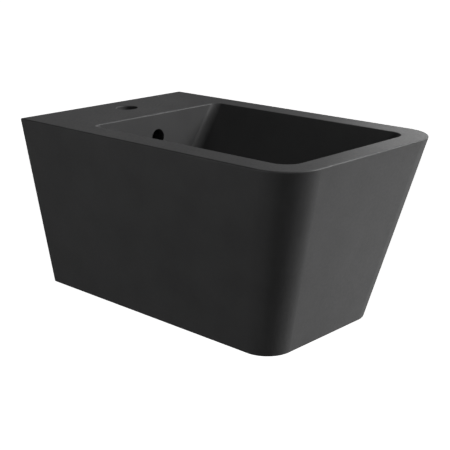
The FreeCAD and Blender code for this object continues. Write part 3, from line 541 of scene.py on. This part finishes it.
bpy.ops.object.select_all(action="DESELECT")
bpy.ops.mesh.primitive_cylinder_add(vertices=SHANK_SIDES, radius=SHANK_RADIUS, depth=SHANK_LENGTH,
                                    location=(0.0, 0.0, SHANK_MIDDLE))
shank = bpy.context.object
rounding = shank.modifiers.new("rounding", "BEVEL")
rounding.width = SHANK_ROUNDING
rounding.segments = ROUNDING_STEPS
bpy.ops.object.modifier_apply(modifier=rounding.name)
bpy.ops.object.transform_apply(location=True, rotation=True, scale=True)
for piece in (machine, wood, shank):
    piece.select_set(True)
bpy.context.view_layer.objects.active = machine
bpy.ops.object.join()
bpy.ops.object.shade_smooth_by_angle(angle=STUD_CREASE)
machine.data.materials.append(zinc)
print("one stud has", len(machine.data.polygons), "faces")

# %% [markdown]
# The bidet hangs on two such studs, laid along the Y axis at the wall spacing. A Mirror modifier would turn one of
# them into a left-hand thread, so the stud is copied instead. The place goes into the mesh, so that each object
# stays at the origin like the ready-made pieces.

# %% Two studs in place
STUD_SIDE = 0.090
bpy.ops.object.select_all(action="DESELECT")
machine.select_set(True)
bpy.ops.object.duplicate()
for stud, side, name in ((machine, -STUD_SIDE, "stud_left"), (bpy.context.object, STUD_SIDE, "stud_right")):
    stud.name = name
    stud.rotation_euler = (-math.pi / 2, 0.0, 0.0)
    stud.location = (side, 0.0, 0.0)
    bpy.ops.object.select_all(action="DESELECT")
    stud.select_set(True)
    bpy.context.view_layer.objects.active = stud
    bpy.ops.object.transform_apply(location=True, rotation=True, scale=True)
    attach(stud, "bidet")
    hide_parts("wall_studs")
    print(stud.name, "reaches from y", round(min(v.co.y for v in stud.data.vertices), 4),
          "to", round(max(v.co.y for v in stud.data.vertices), 4))

# %% [markdown]
# The cup under the trap is unscrewed by hand to clean it. A hollow cylinder would be near its shape, but the real
# cup has a rounded floor edge and a fine lip. So it is turned, like a bowl on a wheel. First comes its half
# profile, from the middle of the floor round the outside to the inside.

# %% Profile of the trap cup
CUP_AXIS = -0.265
CUP_RADIUS = 0.0325
CUP_BORE = 0.0296
CUP_FLOOR = -0.199
CUP_FLOOR_THICKNESS = 0.004
CUP_TOP = -0.152
CUP_EDGE = 0.006
EDGE_STEPS = 6
OUTER_LIP = 0.0005
INNER_LIP = 0.0004
GRIP = (-0.190, -0.172)

edge_points = []
for step in range(EDGE_STEPS + 1):
    turn = math.pi / 2 * step / EDGE_STEPS
    edge_points.append((CUP_RADIUS - CUP_EDGE + CUP_EDGE * math.sin(turn),
                        CUP_FLOOR + CUP_EDGE - CUP_EDGE * math.cos(turn)))
outside = [(0.0, CUP_FLOOR), *edge_points, (CUP_RADIUS, GRIP[0]), (CUP_RADIUS, GRIP[1]),
           (CUP_RADIUS, CUP_TOP - OUTER_LIP), (CUP_RADIUS - OUTER_LIP, CUP_TOP)]
inside = [(CUP_BORE + INNER_LIP, CUP_TOP), (CUP_BORE, CUP_TOP - INNER_LIP),
          (CUP_BORE, CUP_FLOOR + CUP_FLOOR_THICKNESS), (0.0, CUP_FLOOR + CUP_FLOOR_THICKNESS)]
profile = outside + inside
profile_steps = [(far - near, high - low) for (near, low), (far, high) in zip(profile, profile[1:])]
print("cup profile has", len(profile), "points")

# %% [markdown]
# The profile is then spun once round the waste's axis. Each step of the spin will carry one flute of the grip, so
# their number is the number of steps.

# %% Spin the trap cup
FLUTES = 90
cup = draw_profile("fluted_trap_cup", (0.0, CUP_AXIS, CUP_FLOOR), profile_steps)
bpy.ops.mesh.select_all(action="SELECT")
bpy.ops.mesh.spin(steps=FLUTES, angle=2 * math.pi, center=(0.0, CUP_AXIS, 0.0), axis=UPWARDS)
bpy.ops.mesh.select_all(action="SELECT")
bpy.ops.mesh.remove_doubles(threshold=SAME_POINT)
bpy.ops.mesh.normals_make_consistent(inside=False)
bpy.ops.object.mode_set(mode="OBJECT")
bpy.ops.object.transform_apply(location=True, rotation=True, scale=True)
print("cup has", len(cup.data.polygons), "faces before the grip")

# %% [markdown]
# A band of flutes gives the hand a grip. Ninety boolean cuts would be slow and leave ragged edges. Insetting each
# face of the band on its own presses all of them in at once, and leaves a rib between two flutes. Only the outer
# wall is chosen: its faces lie further from the axis than the middle of the wall.

# %% Press in the grip
FLUTE_MARGIN = 0.0004
FLUTE_DEPTH = 0.0005
CUP_CREASE = math.radians(25.0)
bpy.ops.object.mode_set(mode="EDIT")
bpy.ops.mesh.select_mode(type="FACE")
bpy.ops.mesh.select_all(action="DESELECT")
bpy.ops.object.mode_set(mode="OBJECT")
for face in cup.data.polygons:
    reach = math.hypot(face.center.x, face.center.y - CUP_AXIS)
    face.select = GRIP[0] < face.center.z < GRIP[1] and reach > (CUP_RADIUS + CUP_BORE) / 2
bpy.ops.object.mode_set(mode="EDIT")
bpy.ops.mesh.inset(thickness=FLUTE_MARGIN, depth=-FLUTE_DEPTH, use_individual=True)
bpy.ops.object.mode_set(mode="OBJECT")
bpy.ops.object.shade_smooth_by_angle(angle=CUP_CREASE)
cup.data.materials.append(chrome)
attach(cup, "bidet")
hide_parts("trap_cup")
print("cup has", len(cup.data.polygons), "faces with its grip")

# %% [markdown]
# The studio has a white surround. A surround that shines as bright as it looks would be simpler, but it would wash
# out a black object. So it is plain white where the camera or a reflection looks at it, and gives the object only
# a weak, even light.

# %% Surround
SURROUND_LIGHT = 0.056
WHITE = (1.0, 1.0, 1.0, 1.0)


def seen_directly(finish):
    """One where the camera, a reflection or a refraction looks, and nought for scattered light."""
    rays = add_node(finish, "ShaderNodeLightPath").outputs
    looked_at = arithmetic(finish, "MAXIMUM", rays["Is Camera Ray"], rays["Is Glossy Ray"])
    return arithmetic(finish, "MAXIMUM", looked_at, rays["Is Transmission Ray"])


def mix_shaders(finish, part, first, second):
    """The first shader where the share is nought, the second where it is one."""
    return add_node(finish, "ShaderNodeMixShader", [(0, part), (1, first), (2, second)]).outputs[0]


surround = bpy.data.worlds.new("studio_surround")
surround.use_nodes = True
bpy.context.scene.world = surround
dim = surround.node_tree.nodes["Background"]
dim.inputs["Color"].default_value = WHITE
dim.inputs["Strength"].default_value = SURROUND_LIGHT
white = add_node(surround, "ShaderNodeBackground", [("Color", WHITE), ("Strength", 1.0)])
link(surround, mix_shaders(surround, seen_directly(surround), dim.outputs[0], white.outputs[0]),
     surround.node_tree.nodes["World Output"], "Surface")
print("surround light", SURROUND_LIGHT)

# %% [markdown]
# The floor lies far below, because the bidet hangs on a wall. It is wide enough to pass for a studio's white
# ground, and it belongs to the stage, not to the object.

# %% Floor
FLOOR_HEIGHT = -1.5
FLOOR_WIDTH = 80.0
bpy.ops.object.select_all(action="DESELECT")
bpy.ops.mesh.primitive_plane_add(size=FLOOR_WIDTH, location=(0.0, 0.0, FLOOR_HEIGHT))
floor = bpy.context.object
floor.name = "studio_floor"
bpy.ops.object.transform_apply(location=True, rotation=True, scale=True)
print("floor at", FLOOR_HEIGHT)

# %% [markdown]
# White paint alone would look grey in this weak light, so the floor glows white like the surround. Right under the
# object it glows less and lamp light makes up the rest, so that the object's soft shadow stays on it. From below
# it is see-through, so that the underside can be looked at.

# %% Floor paint
FLOOR_MIDDLE = (0.0, -0.275, FLOOR_HEIGHT)
FLOOR_COLOUR = (0.9, 0.9, 0.9, 1.0)
FLOOR_ROUGHNESS = 0.9
SHADOW_NEAR = 1.3
SHADOW_FAR = 2.4
SHADOW_GLOW = 0.6

floor_paint, shader = new_finish("pale_floor")
shader.inputs["Base Color"].default_value = FLOOR_COLOUR
shader.inputs["Roughness"].default_value = FLOOR_ROUGHNESS
floor_place = add_node(floor_paint, "ShaderNodeTexCoord").outputs["Object"]
from_middle = add_node(floor_paint, "ShaderNodeVectorMath", [(0, floor_place), (1, FLOOR_MIDDLE)],
                       operation="DISTANCE").outputs["Value"]
fall = add_node(floor_paint, "ShaderNodeMapRange", [("Value", from_middle), ("From Min", SHADOW_NEAR),
                                                    ("From Max", SHADOW_FAR), ("To Min", SHADOW_GLOW)])
glow = add_node(floor_paint, "ShaderNodeEmission", [("Strength", fall.outputs["Result"])])
mirror_glow = add_node(floor_paint, "ShaderNodeEmission", [("Strength", 1.0)])
lit = add_node(floor_paint, "ShaderNodeAddShader", [(0, shader.outputs[0]), (1, glow.outputs[0])])
scattered = mix_shaders(floor_paint, seen_directly(floor_paint), shader.outputs[0], mirror_glow.outputs[0])
by_camera = add_node(floor_paint, "ShaderNodeLightPath").outputs["Is Camera Ray"]
topside = mix_shaders(floor_paint, by_camera, scattered, lit.outputs[0])
see_through = add_node(floor_paint, "ShaderNodeBsdfTransparent")
under_floor = add_node(floor_paint, "ShaderNodeNewGeometry").outputs["Backfacing"]
link(floor_paint, mix_shaders(floor_paint, under_floor, topside, see_through.outputs[0]),
     floor_paint.node_tree.nodes["Material Output"], "Surface")
floor.data.materials.append(floor_paint)
print("floor glows", SHADOW_GLOW, "under the object and 1 beyond", SHADOW_FAR, "m")

# %% [markdown]
# A black object needs black things to look at as well as bright ones. Photographers hang black flags where a face
# would otherwise mirror the white room and turn grey. One stands behind the bidet, and its right edge makes the
# rim brighten towards the front corner. One lies on the floor to the left and darkens that side. One lies on the
# floor at the back right and keeps the lower edges dark. They throw no shadow of their own.

# %% Black flags
CLOTH_COLOUR = (0.004, 0.004, 0.004, 1.0)
JUST_ABOVE_FLOOR = FLOOR_HEIGHT + 0.01
LYING = (0.0, 0.0, 0.0)
STANDING = (math.pi / 2, 0.0, math.radians(-10.0))

black_cloth, shader = new_finish("black_cloth")
shader.inputs["Base Color"].default_value = CLOTH_COLOUR
shader.inputs["Roughness"].default_value = 1.0
shader.inputs["Specular IOR Level"].default_value = 0.0


def flag(name, size, location, rotation):
    """A black cloth panel that the camera looks through, but reflections do not."""
    bpy.ops.object.select_all(action="DESELECT")
    bpy.ops.mesh.primitive_plane_add(size=1.0, location=location, rotation=rotation)
    cloth = bpy.context.object
    cloth.name = name
    cloth.scale = (*size, 1.0)
    bpy.ops.object.transform_apply(location=True, rotation=True, scale=True)
    cloth.data.materials.append(black_cloth)
    cloth.visible_camera = False
    cloth.visible_shadow = False
    print(name, "of", size, "m")


flag("back_flag", size=(5.8, 3.5), location=(-0.17, 1.73, 1.70), rotation=STANDING)
flag("left_flag", size=(4.8, 14.0), location=(-2.7, 3.3, JUST_ABOVE_FLOOR), rotation=LYING)
flag("floor_flag", size=(6.0, 6.0), location=(2.9, 2.7, JUST_ABOVE_FLOOR), rotation=LYING)

# %% [markdown]
# Soft lamps shape the black body. Each is a rectangle that shines at the bidet's middle from two metres away. A
# point lamp would be simpler, but its reflection in the glaze would be a small hard spot. The lamp's power follows
# from its brightness and its area, so that a lamp can change its size without changing how bright it looks.

# %% A soft lamp
LAMP_DISTANCE = 2.0
LAMP_WIDTH = 0.9
BIDET_MIDDLE = Vector((0.0, -0.275, -0.03))


def lamp(name, azimuth, elevation, height, brightness):
    """A soft lamp in degrees round and above the bidet; azimuth turns from its right, +X, to the wall, +Y."""
    turn = math.radians(azimuth)
    rise = math.radians(elevation)
    towards = Vector((math.cos(turn) * math.cos(rise), math.sin(turn) * math.cos(rise), math.sin(rise)))
    bpy.ops.object.light_add(type="AREA", location=BIDET_MIDDLE + towards * LAMP_DISTANCE,
                             rotation=towards.to_track_quat("Z", "Y").to_euler())
    made = bpy.context.object
    made.name = name
    made.data.shape = "RECTANGLE"
    made.data.size = LAMP_WIDTH
    made.data.size_y = height
    made.data.energy = brightness * math.pi * LAMP_WIDTH * height
    made.visible_camera = False
    print(name, round(made.data.energy, 2), "watts")


print("lamps shine at", tuple(BIDET_MIDDLE))

# %% [markdown]
# One big lamp would be simpler, but black glaze shows little of its own colour, and each face gets its tone from
# the lamps that it looks towards. The strong key lamp hangs high to the right of the front, with a weak one below
# it. The rim lamp stands low on the right, and two lamps light the left side. None stands near the camera, so the
# near corner stays dark. A very weak lamp behind is mirrored in the deck. The last one lights the back, out of
# the camera's sight.

# %% Lamps
lamp("key_lamp", azimuth=-50.0, elevation=33.0, height=0.6, brightness=34.2)
lamp("low_lamp", azimuth=-30.0, elevation=-30.0, height=0.8, brightness=0.83)
lamp("rim_lamp", azimuth=16.0, elevation=15.0, height=0.8, brightness=1.65)
lamp("left_lamp", azimuth=157.0, elevation=-5.0, height=0.8, brightness=4.05)
lamp("low_left_lamp", azimuth=185.0, elevation=-30.0, height=0.8, brightness=0.99)
lamp("deck_lamp", azimuth=60.0, elevation=11.0, height=0.5, brightness=0.42)
lamp("wall_side_lamp", azimuth=78.0, elevation=-14.0, height=0.8, brightness=8.0)
